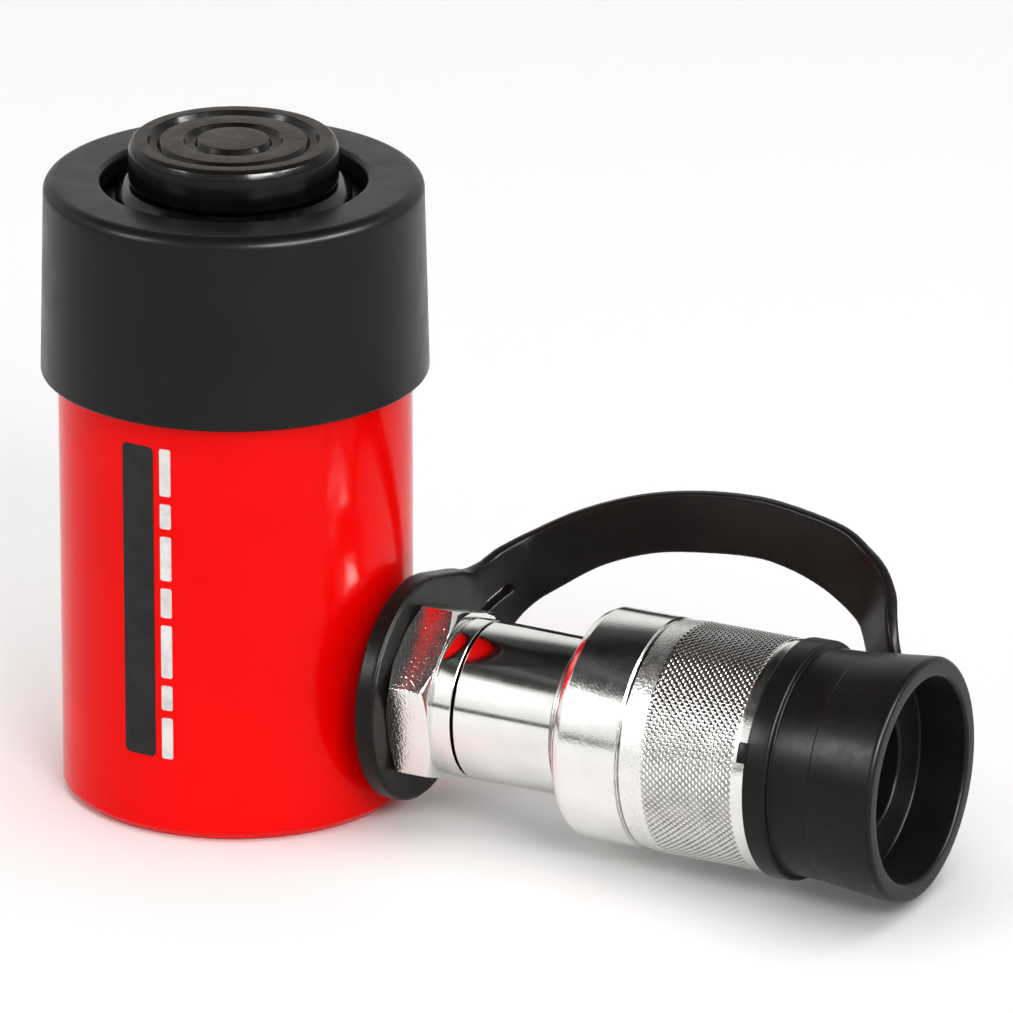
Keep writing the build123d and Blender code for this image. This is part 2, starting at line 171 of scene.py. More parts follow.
def rod(name, centre, direction, radius, length, n=64):
    d = Vector(direction).normalized()
    u = d.orthogonal().normalized()
    v = d.cross(u)
    ring = [Vector(centre) + (u * math.cos(TAU * i / n) + v * math.sin(TAU * i / n)) * radius for i in range(n)]
    return prism(name, [tuple(p) for p in ring], [tuple(p + d * length) for p in ring])


def combine(ob, other, how):
    """Boolean with another closed mesh, which is used up."""
    m = ob.modifiers.new("cut", "BOOLEAN")
    m.operation = how
    m.object = other
    try:
        m.solver = "MANIFOLD"
    except TypeError:
        m.solver = "EXACT"
    bake(ob)
    bpy.data.objects.remove(other)
    finish_shading(ob)
    return ob


def bake(ob):
    """Applies the modifiers to the mesh."""
    bpy.context.view_layer.update()
    dg = bpy.context.evaluated_depsgraph_get()
    me = bpy.data.meshes.new_from_object(ob.evaluated_get(dg))
    me.name = ob.name
    ob.modifiers.clear()
    old = ob.data
    ob.data = me
    bpy.data.meshes.remove(old)


def bevelled(ob, width, angle=35, segments=2):
    m = ob.modifiers.new("bevel", "BEVEL")
    m.width = width * MM
    m.segments = segments
    m.limit_method = "ANGLE"
    m.angle_limit = math.radians(angle)
    m.harden_normals = False
    bake(ob)
    finish_shading(ob)
    return ob


# =====================================================================
# materials: all procedural, in object space (metres)
# =====================================================================
class Mat:
    """A small builder for node materials."""

    def __init__(self, name):
        self.m = bpy.data.materials.new(name)
        self.m.use_nodes = True
        self.t = self.m.node_tree
        self.b = self.t.nodes["Principled BSDF"]
        self.coord = self.node("ShaderNodeTexCoord").outputs["Object"]

    def node(self, kind, **kw):
        n = self.t.nodes.new(kind)
        for k, v in kw.items():
            setattr(n, k, v)
        return n

    def set(self, socket, value):
        self.b.inputs[socket].default_value = value
        return self

    def link(self, a, b):
        self.t.links.new(a, b)

    def scaled(self, x=1.0, y=1.0, z=1.0):
        m = self.node("ShaderNodeMapping")
        m.inputs["Scale"].default_value = (x, y, z)
        self.link(self.coord, m.inputs["Vector"])
        return m.outputs["Vector"]

    def noise(self, size_mm, detail=3.0, rough=0.55, vector=None, distortion=0.0):
        n = self.node("ShaderNodeTexNoise")
        n.inputs["Scale"].default_value = 1000.0 / size_mm
        n.inputs["Detail"].default_value = detail
        n.inputs["Roughness"].default_value = rough
        n.inputs["Distortion"].default_value = distortion
        self.link(vector or self.coord, n.inputs["Vector"])
        return n.outputs["Fac"]

    def ramp(self, fac, stops):
        r = self.node("ShaderNodeValToRGB")
        e = r.color_ramp.elements
        while len(e) < len(stops):
            e.new(0.5)
        for i, (p, c) in enumerate(stops):
            e[i].position = p
            e[i].color = (*c, 1) if hasattr(c, "__len__") else (c, c, c, 1)
        self.link(fac, r.inputs["Fac"])
        return r.outputs["Color"]

    def remap(self, fac, lo, hi, f0=0.3, f1=0.7):
        r = self.node("ShaderNodeMapRange")
        for k, v in (("From Min", f0), ("From Max", f1), ("To Min", lo), ("To Max", hi)):
            r.inputs[k].default_value = v
        self.link(fac, r.inputs["Value"])
        return r.outputs["Result"]

    def math(self, op, a, b=None, clamp=False):
        n = self.node("ShaderNodeMath", operation=op, use_clamp=clamp)
        for i, v in enumerate((a, b)):
            if v is None:
                continue
            if hasattr(v, "links"):
                self.link(v, n.inputs[i])
            else:
                n.inputs[i].default_value = v
        return n.outputs["Value"]

    def mix(self, fac, a, b):
        n = self.node("ShaderNodeMix", data_type="RGBA")
        for s, v in ((n.inputs["Factor"], fac), (n.inputs["A"], a), (n.inputs["B"], b)):
            if hasattr(v, "links"):
                self.link(v, s)
            elif hasattr(v, "__len__"):
                s.default_value = (*v, 1) if len(v) == 3 else v
            else:
                s.default_value = v
        return n.outputs["Result"]

    def xyz(self):
        n = self.node("ShaderNodeSeparateXYZ")
        self.link(self.coord, n.inputs[0])
        return n.outputs

    def bump(self, height, strength, distance_mm):
        n = self.node("ShaderNodeBump")
        n.inputs["Strength"].default_value = strength
        n.inputs["Distance"].default_value = distance_mm * MM
        self.link(height, n.inputs["Height"])
        if getattr(self, "last_bump", None):
            self.link(self.last_bump, n.inputs["Normal"])
        self.last_bump = n.outputs["Normal"]
        self.link(n.outputs["Normal"], self.b.inputs["Normal"])
        return self

    def colour(self, out):
        self.link(out, self.b.inputs["Base Color"])
        return self

    def rough(self, out):
        self.link(out, self.b.inputs["Roughness"])
        return self

    def worn(self, size_mm, amount):
        """0 to 1 mask on convex edges, broken up by noise."""
        g = self.node("ShaderNodeNewGeometry")
        p = self.remap(g.outputs["Pointiness"], 0.0, 1.0, 0.515, 0.56)
        return self.math("MULTIPLY", p, self.remap(self.noise(size_mm, 4.0, 0.7), 0.0, amount, 0.45, 0.62), clamp=True)


def red_enamel():
    m = Mat("red_enamel")
    cloud = m.noise(38, 2.0)
    m.colour(m.ramp(cloud, [(0.30, (0.71, 0.0006, 0.0004)), (0.62, (0.79, 0.0010, 0.0006))]))
    m.rough(m.remap(m.noise(9, 4.0), 0.10, 0.20))
    m.set("IOR", 1.45).set("Specular IOR Level", 0.09)
    m.bump(m.noise(2.6, 2.0, 0.4), 0.08, 0.05)      # orange peel
    m.bump(m.noise(0.35, 2.0), 0.04, 0.01)
    return m.m


def machined_thread():
    m = Mat("machined_thread")
    x, y, z = m.xyz()
    m.set("Metallic", 1.0).set("Anisotropic", 0.35)
    m.colour(m.ramp(m.noise(6, 3.0), [(0.35, (0.22, 0.215, 0.21)), (0.7, (0.42, 0.41, 0.40))]))
    m.rough(m.remap(m.noise(1.2, 4.0), 0.26, 0.46))
    m.bump(m.noise(0.5, 3.0, 0.6, m.scaled(1, 1, 14)), 0.12, 0.02)
    return m.m


def black_plastic():
    m = Mat("black_plastic")
    m.colour(m.ramp(m.noise(22, 4.0, 0.6), [(0.32, (0.0050, 0.0047, 0.0043)), (0.68, (0.0080, 0.0075, 0.0069))]))
    m.rough(m.remap(m.noise(5.0, 5.0, 0.65), 0.27, 0.38))
    m.set("IOR", 1.45).set("Specular IOR Level", 0.17)
    m.bump(m.noise(0.42, 3.0, 0.6), 0.16, 0.022)      # spark texture
    m.bump(m.noise(7.0, 2.0), 0.05, 0.10)
    return m.m


def black_oxide():
    """Dark turned steel of the saddle; its upward faces are painted lighter and browner than its sides, as painted
    light from above.
    """
    m = Mat("black_oxide")
    nrm = m.node("ShaderNodeSeparateXYZ")
    m.link(m.node("ShaderNodeTexCoord").outputs["Normal"], nrm.inputs[0])
    up = m.remap(nrm.outputs["Z"], 0.0, 1.0, 0.72, 0.97)
    x, y, z = m.xyz()
    r = m.math("SQRT", m.math("ADD", m.math("MULTIPLY", x, x), m.math("MULTIPLY", y, y)))
    lines = m.node("ShaderNodeTexNoise", noise_dimensions="1D")
    lines.inputs["Scale"].default_value = 5200
    lines.inputs["Detail"].default_value = 3
    m.link(r, lines.inputs["W"])
    side = m.ramp(m.noise(4.0, 4.0), [(0.3, (0.0030, 0.0027, 0.0025)), (0.7, (0.0060, 0.0054, 0.0050))])
    # painted light: faces turned upwards get a lighter, browner colour than the sides
    top = m.ramp(m.noise(7.0, 5.0, 0.65), [(0.30, (0.012, 0.0085, 0.0060)), (0.55, (0.022, 0.0160, 0.0110)), (0.75, (0.036, 0.0270, 0.0195))])
    m.colour(m.mix(up, side, top))
    rough_side = m.remap(m.noise(3.0, 4.0), 0.13, 0.24)
    rough_top = m.remap(m.noise(2.5, 5.0, 0.7), 0.34, 0.52)
    mixed = m.node("ShaderNodeMix", data_type="FLOAT")
    m.link(up, mixed.inputs["Factor"])
    m.link(rough_side, mixed.inputs["A"])
    m.link(rough_top, mixed.inputs["B"])
    m.rough(mixed.outputs["Result"])
    m.set("Specular IOR Level", 0.18)
    fine = m.math("MULTIPLY", lines.outputs["Fac"], up)
    m.bump(fine, 0.35, 0.02)
    m.bump(m.noise(0.5, 3.0), 0.10, 0.01)
    return m.m


def plated(name, grain, grain_mm, rough_lo, rough_hi, turning=0.06, tint=(0.81, 0.812, 0.785), knurled=False, pit_mm=0.02):
    """Bright zinc plating over turned steel: grain is the strength of its pitted skin."""
    m = Mat(name)
    lo = tuple(c * 0.90 for c in tint)
    skin = m.ramp(m.noise(11, 4.0, 0.6), [(0.30, lo), (0.60, tint)])
    if knurled:
        # painted shade: the cuts of the knurl and the groove beside it are darkened
        x, y, z = m.xyz()
        dz = m.math("SUBTRACT", z, AXIS_Z * MM)
        r = m.math("SQRT", m.math("ADD", m.math("MULTIPLY", y, y), m.math("MULTIPLY", dz, dz)))
        deep = m.remap(r, 1.0, 0.0, 0.01857, 0.01880)
        along = m.math("MULTIPLY", m.remap(x, 0.0, 1.0, 0.07785, 0.0780), m.remap(x, 1.0, 0.0, 0.0984, 0.0986))
        knurl_painted_shade = m.math("MULTIPLY", m.math("MULTIPLY", deep, along), m.remap(m.noise(3.0, 3.0), 0.60, 0.92))
        skin = m.mix(knurl_painted_shade, skin, (0.055, 0.054, 0.050))
    m.colour(skin)
    m.rough(m.remap(m.noise(1.6, 5.0, 0.65), rough_lo, rough_hi))
    m.set("Metallic", 1.0)
    # turning marks run round the coupler's axis, so they vary along X only
    m.bump(m.noise(0.30, 3.0, 0.6, m.scaled(1.0, 0.01, 0.01)), turning, 0.006)
    m.bump(m.noise(grain_mm, 2.0, 0.5), grain, pit_mm)
    return m.m


def rubber():
    m = Mat("black_rubber")
    m.colour(m.ramp(m.noise(14, 5.0, 0.65), [(0.32, (0.0052, 0.0045, 0.0038)), (0.66, (0.0090, 0.0080, 0.0070))]))
    m.rough(m.remap(m.noise(4.0, 5.0, 0.7), 0.26, 0.40))
    m.set("IOR", 1.45).set("Specular IOR Level", 0.15).set("Sheen Weight", 0.03).set("Sheen Roughness", 0.4)
    m.bump(m.noise(0.6, 4.0, 0.6), 0.14, 0.02)
    m.bump(m.noise(9.0, 2.0), 0.10, 0.12)
    return m.m


def print_film(name, lo, hi):
    m = Mat(name)
    m.colour(m.ramp(m.noise(3.0, 5.0, 0.7), [(0.3, lo), (0.6, hi)]))
    m.rough(m.remap(m.noise(2.0, 4.0), 0.30, 0.42))
    m.set("Specular IOR Level", 0.18)
    m.bump(m.noise(0.8, 3.0), 0.10, 0.008)
    return m.m


def metal(name, lo, hi, r0, r1, grain=0.10, size=6.0, along=(1, 1, 1)):
    m = Mat(name)
    m.colour(m.ramp(m.noise(size, 4.0, 0.6), [(0.32, lo), (0.66, hi)]))
    m.rough(m.remap(m.noise(1.5, 5.0, 0.65), r0, r1))
    m.set("Metallic", 1.0)
    m.bump(m.noise(0.35, 3.0, 0.6, m.scaled(*along)), grain, 0.012)
    return m.m


def polymer(name, lo, hi, r0, r1, grain=0.10):
    m = Mat(name)
    m.colour(m.ramp(m.noise(5.0, 4.0, 0.6), [(0.32, lo), (0.66, hi)]))
    m.rough(m.remap(m.noise(2.0, 4.0), r0, r1))
    m.bump(m.noise(0.5, 3.0), grain, 0.015)
    return m.m


M = {
    "red": red_enamel(),
    "thread": machined_thread(),
    "plastic": black_plastic(),
    "saddle": black_oxide(),
    "plated": plated("plated_polished", 0.10, 0.55, 0.05, 0.13),
    "plated_grain": plated("plated_grain", 1.0, 0.40, 0.12, 0.22, 0.02, pit_mm=0.11),
    "plated_sleeve": plated("plated_sleeve", 1.0, 0.36, 0.09, 0.19, 0.05, knurled=True, pit_mm=0.018),
    "plated_satin": plated("plated_satin", 1.0, 0.38, 0.22, 0.34, 0.10, pit_mm=0.10),
    "rubber": rubber(),
    "bar": print_film("black_print", (0.008, 0.0075, 0.0075), (0.016, 0.015, 0.015)),
    "line": print_film("white_print", (0.52, 0.50, 0.49), (0.70, 0.69, 0.68)),
    "dark_steel": metal("dark_steel", (0.035, 0.035, 0.038), (0.075, 0.075, 0.08), 0.32, 0.46),
    "bronze": metal("bearing_bronze", (0.45, 0.27, 0.10), (0.62, 0.40, 0.17), 0.25, 0.40, 0.12, 5.0, (1, 1, 10)),
    "urethane": polymer("seal_urethane", (0.025, 0.09, 0.24), (0.04, 0.13, 0.32), 0.30, 0.42),
    "bright": metal("bright_steel", (0.42, 0.42, 0.43), (0.60, 0.60, 0.61), 0.22, 0.36, 0.12, 5.0, (12, 1, 1)),
    "wire": metal("spring_steel", (0.20, 0.20, 0.21), (0.36, 0.36, 0.37), 0.28, 0.42, 0.12, 3.0),
    "white_plastic": polymer("backup_plastic", (0.66, 0.63, 0.54), (0.76, 0.73, 0.65), 0.38, 0.5),
    # dark metal for the plunger's top end: painted shade inside the protector's hole
    "plunger_end": metal("plunger_end", (0.030, 0.029, 0.028), (0.055, 0.054, 0.052), 0.12, 0.24, 0.10, 5.0),
    "chrome": metal("plunger_chrome", (0.62, 0.63, 0.65), (0.76, 0.77, 0.78), 0.07, 0.16, 0.05, 14.0, (1, 1, 12)),
}

SLOT_MATERIAL = {
    "red_enamel": "red", "black_print": "bar", "white_print": "line", "dark_steel": "dark_steel",
    "bearing_bronze": "bronze", "seal_urethane": "urethane", "bright_steel": "bright",
    "spring_steel": "wire", "plated_steel": "plated", "black_rubber": "rubber",
    "backup_plastic": "white_plastic", "plunger_chrome": "chrome", "black_oxide": "saddle",
    "black_plastic": "plastic",
}
slot_of = {s["node"]: s["material_slot"] for s in frame["record"]["subparts"]}
for node_name, ob in frame["nodes"].items():
    ob.data.materials.clear()
    ob.data.materials.append(M[SLOT_MATERIAL[slot_of[node_name]]])


def place(ob, body, node, *materials):
    """Gives a piece its materials, rides it on its body and stands it for its CAD node."""
    ob.data.materials.clear()
    for k in materials:
        ob.data.materials.append(M[k])
    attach(ob, body)
    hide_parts(node)
    return ob


# =====================================================================
# the cylinder
# =====================================================================
PITCH, T0, T1 = 25.4 / 14, 73.8, 98.6


def collar_thread(th, s, r):
    """The collar thread's helix, fading in and out over its first and last turns."""
    if not (T0 <= s <= T1 and abs(r - BARREL_R) < 1e-6):
        return np.full(len(th), r)
    phase = (s / PITCH - th / TAU) % 1.0
    v = np.clip(1.0 - np.abs(phase - 0.5) / 0.44, 0, 1)
    fade = min(1.0, (s - T0) / 1.2, (T1 - s) / 1.2)
    return r - 0.95 * v * max(0.0, fade)


outline = rounded([(0.0, 0.0), (0.0, BARREL_R - 1.5, 0.35), (1.5, BARREL_R, 0.5), (T0 - 0.3, BARREL_R)])[:-1]
outline += [(s, BARREL_R) for s in np.linspace(4, T0 - 0.2, 8)]
outline += [(s, BARREL_R) for s in np.arange(T0, T1 + 1e-6, 0.16)]
outline += [(98.9, BARREL_R), (99.6, BARREL_R - 0.7), (100.0, BARREL_R - 1.1), (100.0, 23.7), (99.8, 23.5),
            (90.2, 23.5), (90.2, 21.45), (31.2, 21.45), (31.2, 17.0), (14.0, 17.0), (14.0, 0.0)]
barrel = turned("cylinder_barrel_shell", outline, "Z", 256, collar_thread)
for hole in (rod("h", (34, 0, AXIS_Z), (-1, 0, 0), 8.4, 15.4), rod("h", (20, 0, AXIS_Z), (-1, 0, 0), 4.0, 8),
             rod("h", (0, 0, -1), (0, 0, 1), 7.5, 9.5), rod("h", (0, 0, -1), (0, 0, 1), 4.2, 20),
             rod("h", (0, 19.8, -1), (0, 0, 1), 3.3, 13.7, 48), rod("h", (0, -19.8, -1), (0, 0, 1), 3.3, 13.7, 48)):
    combine(barrel, hole, "DIFFERENCE")
place(barrel, "base", "cylinder_barrel", "red", "thread")
for poly in barrel.data.polygons:
    c = poly.center / MM
    rad = math.hypot(c.x, c.y)
    inside = rad < 27.9 and c.z > 0.3 and not (c.z < 2.0 and rad > 26.5)
    poly.material_index = 1 if (c.z > T0 - 0.4 or inside) else 0

protector = turned("thread_protector_cap", rounded([
    (71.3, 28.93, 0.25), (71.3, 31.35, 0.5), (73.0, 31.30), (99.4, 30.66), (103.5, 30.6, 3.9),
    (103.5, 21.4, 0.9), (100.3, 21.4, 0.3), (100.3, 28.93, 0.4)], 7.0), "Z", 256)
place(protector, "protector", "thread_protector", "plastic")

saddle = turned("load_saddle", rounded([
    (92.0, 0), (92.0, 9.8, 0.2), (92.8, 10.6, 0.2), (95.9, 10.6), (95.9, 9.5), (97.7, 9.5), (97.7, 10.6),
    (102.8, 10.6), (102.8, 16.3, 0.2), (103.4, 16.9, 0.3), (108.5, 16.9, 0.8), (109.5, 16.5, 0.12), (110.0, 15.9, 0.16),
    (110.0, 13.9, 0.2), (109.0, 13.35, 0.25), (109.0, 12.3, 0.25), (109.85, 11.75, 0.25),
    (109.85, 8.1, 0.22), (109.05, 7.6, 0.2), (109.05, 6.2, 0.2), (110.0, 5.65, 0.22), (110.0, 0)], 15.0), "Z", 224)
place(saddle, "saddle", "saddle", "saddle")

plunger = turned("plunger_rod", rounded([
    (14.3, 11.6), (14.3, 14.5), (15.3, 15.5), (31.5, 15.5), (31.5, 20.55), (32.1, 21.15), (33.2, 21.15),
    (33.2, 17.6), (39.8, 17.6), (39.8, 21.15), (41.4, 21.15), (41.4, 19.4), (45.0, 19.4), (45.0, 21.15),
    (46.1, 21.15), (46.5, 20.75), (46.5, 19.05), (101.3, 19.05, 0.25), (102.8, 17.55, 0.3), (102.8, 12.3),
    (101.6, 11.1), (83.8, 11.1), (83.8, 4.3), (77.5, 4.3), (77.5, 11.6)], 18.0), "Z", 224)
place(plunger, "plunger", "plunger", "chrome", "plunger_end")
# the top face and chamfer of the plunger get the dark metal, as painted shade inside the protector's hole
for poly in plunger.data.polygons:
    c = poly.center / MM
    poly.material_index = 1 if c.z > 100.95 and math.hypot(c.x, c.y) > 11.0 else 0


def helix_wire(name, radius, wire, pitch, turns, start, axis, per_turn=40, section=12):
    """Coil spring of even pitch with its wire capped flat at both ends; start is where the wire's centre begins."""
    n = int(per_turn * turns) + 1
    verts, faces = [], []
    for i in range(n):
        a = TAU * i / per_turn
        h = start + pitch * i / per_turn
        ca, sa = math.cos(a), math.sin(a)
        slope = pitch / (TAU * radius)
        t = Vector((-sa, ca, slope)).normalized()
        out = Vector((ca, sa, 0))
        up = t.cross(out)
        p = Vector((radius * ca, radius * sa, h))
        for j in range(section):
            b = TAU * j / section
            q = p + (out * math.cos(b) + up * math.sin(b)) * wire
            verts.append((q.x, q.y, q.z) if axis == "Z" else (q.z, q.x, AXIS_Z + q.y))
    for i in range(n - 1):
        for j in range(section):
            k = (j + 1) % section
            faces.append((i * section + j, i * section + k, (i + 1) * section + k, (i + 1) * section + j))
    faces.append(tuple(range(section))[::-1])
    faces.append(tuple((n - 1) * section + j for j in range(section)))
    return new_object(name, np.array(verts) * MM, faces)


spring = helix_wire("return_spring_coil", 9.9, 1.25, 3.9, 15, 16.2, "Z")
spring.data.materials.append(M["wire"])
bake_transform(spring)
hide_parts("return_spring")
small_spring = helix_wire("valve_spring_coil", 4.4, 0.5, 2.3, 5, 61.1, "X", 32, 8)
small_spring.data.materials.append(M["wire"])
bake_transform(small_spring)
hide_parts("valve_spring")


# printed bar and line on the barrel, replaced by thin shells with rounded corners
def film(name, a0, a1, z0, z1, corner, node, material, thick=0.09):
    """Curved film on the barrel between two angles (degrees) and two heights."""
    n = 40
    out = []
    w = math.radians(a1 - a0) * BARREL_R
    for cx, cz, s in ((w - corner, z1 - corner, 0), (corner, z1 - corner, 90), (corner, z0 + corner, 180), (w - corner, z0 + corner, 270)):
        for k in range(7):
            t = math.radians(s + k * 15)
            out.append((cx + corner * math.cos(t), cz + corner * math.sin(t)))
    us = sorted({round(p[0], 4) for p in out} | set(np.round(np.linspace(0, w, n), 4)))
    cols = []
    for u in us:
        if u < corner:
            d = corner - math.sqrt(max(0.0, corner ** 2 - (corner - u) ** 2))
        elif u > w - corner:
            d = corner - math.sqrt(max(0.0, corner ** 2 - (u - w + corner) ** 2))
        else:
            d = 0.0
        a = math.radians(a0) + u / BARREL_R
        cols.append((a, z0 + d, z1 - d))
    verts, faces = [], []
    for a, lo, hi in cols:
        for r in (BARREL_R + 0.01, BARREL_R + 0.01 + thick):
            verts += [(r * math.cos(a), r * math.sin(a), lo), (r * math.cos(a), r * math.sin(a), hi)]
    for i in range(len(cols) - 1):
        p, q = 4 * i, 4 * i + 4
        faces += [(p, q, q + 1, p + 1), (p + 2, p + 3, q + 3, q + 2), (p, p + 2, q + 2, q), (p + 1, q + 1, q + 3, p + 3)]
    m = 4 * (len(cols) - 1)
    faces += [(0, 1, 3, 2), (m, m + 2, m + 3, m + 1)]
    ob = new_object(name, np.array(verts) * MM, faces)
    return ob


bar = film("side_bar_print", -100.9, -89.3, 13.7, 66.7, 0.9, "side_decal_bar", "bar")
place(bar, "base", "side_decal_bar", "bar")
dashes = []
z = 13.7
for i, length in enumerate((7.0, 4.2, 9.0, 5.0, 7.5, 4.2, 8.0)):
    d = film("dash", -87.0, -83.2, z, z + length, 0.35, "side_decal_line", "line")
    dashes.append(d)
    z += length + 1.35
bpy.context.view_layer.update()
bm = bmesh.new()
for d in dashes:
    bm.from_mesh(d.data)
joined = bpy.data.meshes.new("side_line_print")
bm.to_mesh(joined)
bm.free()
for d in dashes:
    bpy.data.objects.remove(d)
line = bpy.data.objects.new("side_line_print", joined)
bpy.context.scene.collection.objects.link(line)
finish_shading(line)
place(line, "base", "side_decal_line", "line")


# =====================================================================
# the coupler
# =====================================================================
adapter = turned("coupler_adapter_body", rounded([
    (19.0, 4.0), (19.0, 7.6), (19.8, 8.2), (28.7, 8.35), (28.7, 9.8), (34.35, 9.8), (34.35, 12.0, 0.0), (41.7, 12.0),
    (41.7, 12.94, 0.15), (45.3, 12.94, 0.22), (45.3, 9.4), (56.0, 9.4), (56.0, 4.0)]), "X", 192)
R6 = 13.5 / math.cos(math.pi / 6)
HEX_TURN = math.radians(-19.6)
corners = [(R6 * math.cos(HEX_TURN + i * TAU / 6), AXIS_Z + R6 * math.sin(HEX_TURN + i * TAU / 6)) for i in range(6)]
hexagon = prism("hexagon", [(34.3, *c) for c in corners], [(41.75, *c) for c in corners])
barrel_shape = turned("chamfer", [(34.3, 0), (34.3, 13.75), (35.7, 16.2), (40.35, 16.2), (41.75, 13.75), (41.75, 0)], "X", 240)
combine(hexagon, barrel_shape, "INTERSECT")
combine(hexagon, rod("h", (34, 0, AXIS_Z), (1, 0, 0), 11.0, 9, 96), "DIFFERENCE")
bevelled(hexagon, 0.16, 25)
combine(adapter, hexagon, "UNION")
place(adapter, "base", "coupler_adapter", "plated", "plated_grain")
for poly in adapter.data.polygons:
    c, nrm = poly.center / MM, poly.normal
    rad = math.hypot(c.y, c.z - AXIS_Z)
    if 34.25 < c.x < 41.8 and rad > 12.96 and abs(nrm.x) < 0.12:
        poly.material_index = 1

housing = turned("coupler_housing_body", rounded([
    (45.85, 9.45), (45.85, 12.94, 0.22), (63.1, 12.94, 0.12), (63.1, 12.3), (64.1, 12.3), (64.1, 12.94, 0.12),
    (69.9, 12.94), (69.9, 15.4), (72.4, 15.4), (72.4, 13.2), (90.2, 13.2), (91.0, 12.4, 0.2), (91.0, 10.0, 0.2),
    (90.5, 9.5), (86.7, 9.5), (86.7, 11.3), (83.5, 11.3), (83.5, 9.5), (80.0, 9.5), (80.0, 4.8), (78.6, 4.8),
    (76.0, 7.6), (57.0, 7.6), (57.0, 9.45)]), "X", 192)
place(housing, "base", "coupler_housing", "plated")

ring = turned("sleeve_snap_wire", rounded([(63.2, 12.35), (63.2, 13.4, 0.3), (64.0, 13.4, 0.3), (64.0, 12.35)]), "X", 160)
combine(ring, prism("h", [(62, -1.5, 5), (62, 1.5, 5), (62, 1.5, 11), (62, -1.5, 11)],
                    [(66, -1.5, 5), (66, 1.5, 5), (66, 1.5, 11), (66, -1.5, 11)]), "DIFFERENCE")
place(ring, "base", "sleeve_snap_ring", "wire")

# knurled sleeve: the diamonds are real geometry
KN0, KN1, SR, KCOUNT, KPITCH = 82.2, 98.3, 18.85, 104, 1.16


def knurl(th, s, r):
    if not (KN0 <= s <= KN1 and abs(r - SR) < 1e-6):
        return np.full(len(th), r)
    a = KCOUNT * th / TAU + s / KPITCH / 1.0
    b = KCOUNT * th / TAU - s / KPITCH / 1.0
    tri = lambda x: 1 - np.abs(2 * (x % 1.0) - 1)
    h = np.clip(np.minimum(tri(a), tri(b)) / 0.72, 0, 1)
    fade = min(1.0, (s - KN0) / 0.35, (KN1 - s) / 0.35)
    return r - 0.30 * (1 - h) * max(0.0, fade)


sl = rounded([(65.6, 13.0, 0.15), (65.6, 17.0, 0.35), (66.4, 18.35, 0.9), (67.6, SR, 0.8), (77.6, SR, 0.08), (77.8, SR - 0.45, 0.1), (78.35, SR - 0.45, 0.1), (78.5, SR - 0.22, 0.08)])
sl += [(80.2, SR - 0.12), (81.6, SR)]
sl += [(s, SR) for s in np.arange(KN0 - 0.14, KN1 + 0.2, 0.145)]
sl += rounded([(98.6, SR), (99.0, SR, 0.4), (101.5, 17.75, 0.3), (101.5, 16.3), (101.1, 15.9), (69.5, 15.9), (69.5, 13.0)])
sleeve = turned("coupler_knurled_sleeve", sl, "X", 728, knurl, sharp=60.0)
place(sleeve, "sleeve", "coupler_sleeve", "plated_sleeve", "plated_satin")
for poly in sleeve.data.polygons:
    c = poly.center / MM
    if 78.4 < c.x < KN0 and math.hypot(c.y, c.z - AXIS_Z) > 18.0:
        poly.material_index = 1

cap = turned("dust_cap_cup", rounded([
    (92.0, 12.5, 0.3), (92.0, 15.5, 0.7), (101.8, 15.5), (101.8, 18.0, 0.1), (100.4, 18.64, 0.15), (100.4, 19.4, 0.5), (104.4, 19.4, 0.9), (104.5, 18.35, 0.3),
    (111.3, 18.62, 0.2), (111.5, 18.80, 0.2), (123.0, 20.0, 0.9), (123.0, 16.7, 0.7), (114.5, 16.7, 0.5), (114.5, 9.5, 0.6),
    (104.0, 9.5, 1.0), (104.0, 0), (101.4, 0), (101.4, 12.5, 0.4)], 10.0), "X", 224)
lug = []
for s in (99.1, 100.9):
    lug.append([(s, -r * math.cos(math.radians(a)), AXIS_Z + r * math.sin(math.radians(a))) for r, a in ((18.98, 16.0), (19.6, 16.2), (19.6, 26.0), (18.98, 26.2))])
lug = bevelled(prism("lug", *lug), 0.2)
combine(cap, lug, "UNION")
place(cap, "dust_cap", "dust_cap", "rubber")

# =====================================================================
# the strap: ring and tab behind the hexagon, and the band on edge
# =====================================================================
STATIONS = [
    ((32.6, 13.0, 25.4), (0, 0, 10.2)),
    ((32.7, 17.0, 26.1), (0, 0, 10.4)),
    ((33.6, 23.5, 28.3), (0, 0, 8.0)),
    ((35.5, 28.5, 31.0), (0, 0, 6.2)),
    ((39.5, 32.5, 33.7), (0, 0, 5.4)),
    ((46.8, 35.2, 37.9), (0.2, 0, 5.0)),
    ((56.2, 36.5, 41.4), (-0.2, 0, 5.0)),
    ((66.0, 36.8, 43.3), (0, 0, 5.2)),
    ((76.0, 36.0, 44.4), (0, 0, 5.2)),
    ((83.5, 34.8, 44.1), (1.0, 0, 5.2)),
    ((91.1, 33.2, 42.8), (2.4, 0, 5.1)),
    ((95.7, 31.4, 41.2), (2.8, 0, 4.6)),
    ((99.2, 29.5, 39.7), (3.2, -0.7, 4.3)),
    ((101.8, 27.5, 37.7), (3.4, -1.7, 3.75)),
    ((103.4, 25.2, 35.6), (3.4, -2.4, 3.25)),
    ((104.8, 23.2, 33.2), (3.5, -2.6, 2.5)),
    ((105.8, 21.9, 29.4), (4.1, -2.0, 1.3)),
    ((106.4, 20.6, 24.6), (4.4, -1.0, 0.3)),
    ((106.6, 19.4, 20.0), (4.1, -0.5, 0.0)),
    ((106.7, 17.6, 15.6), (3.6, -0.2, 0.0)),
    ((106.8, 14.0, 12.0), (3.0, 0, 0)),
]


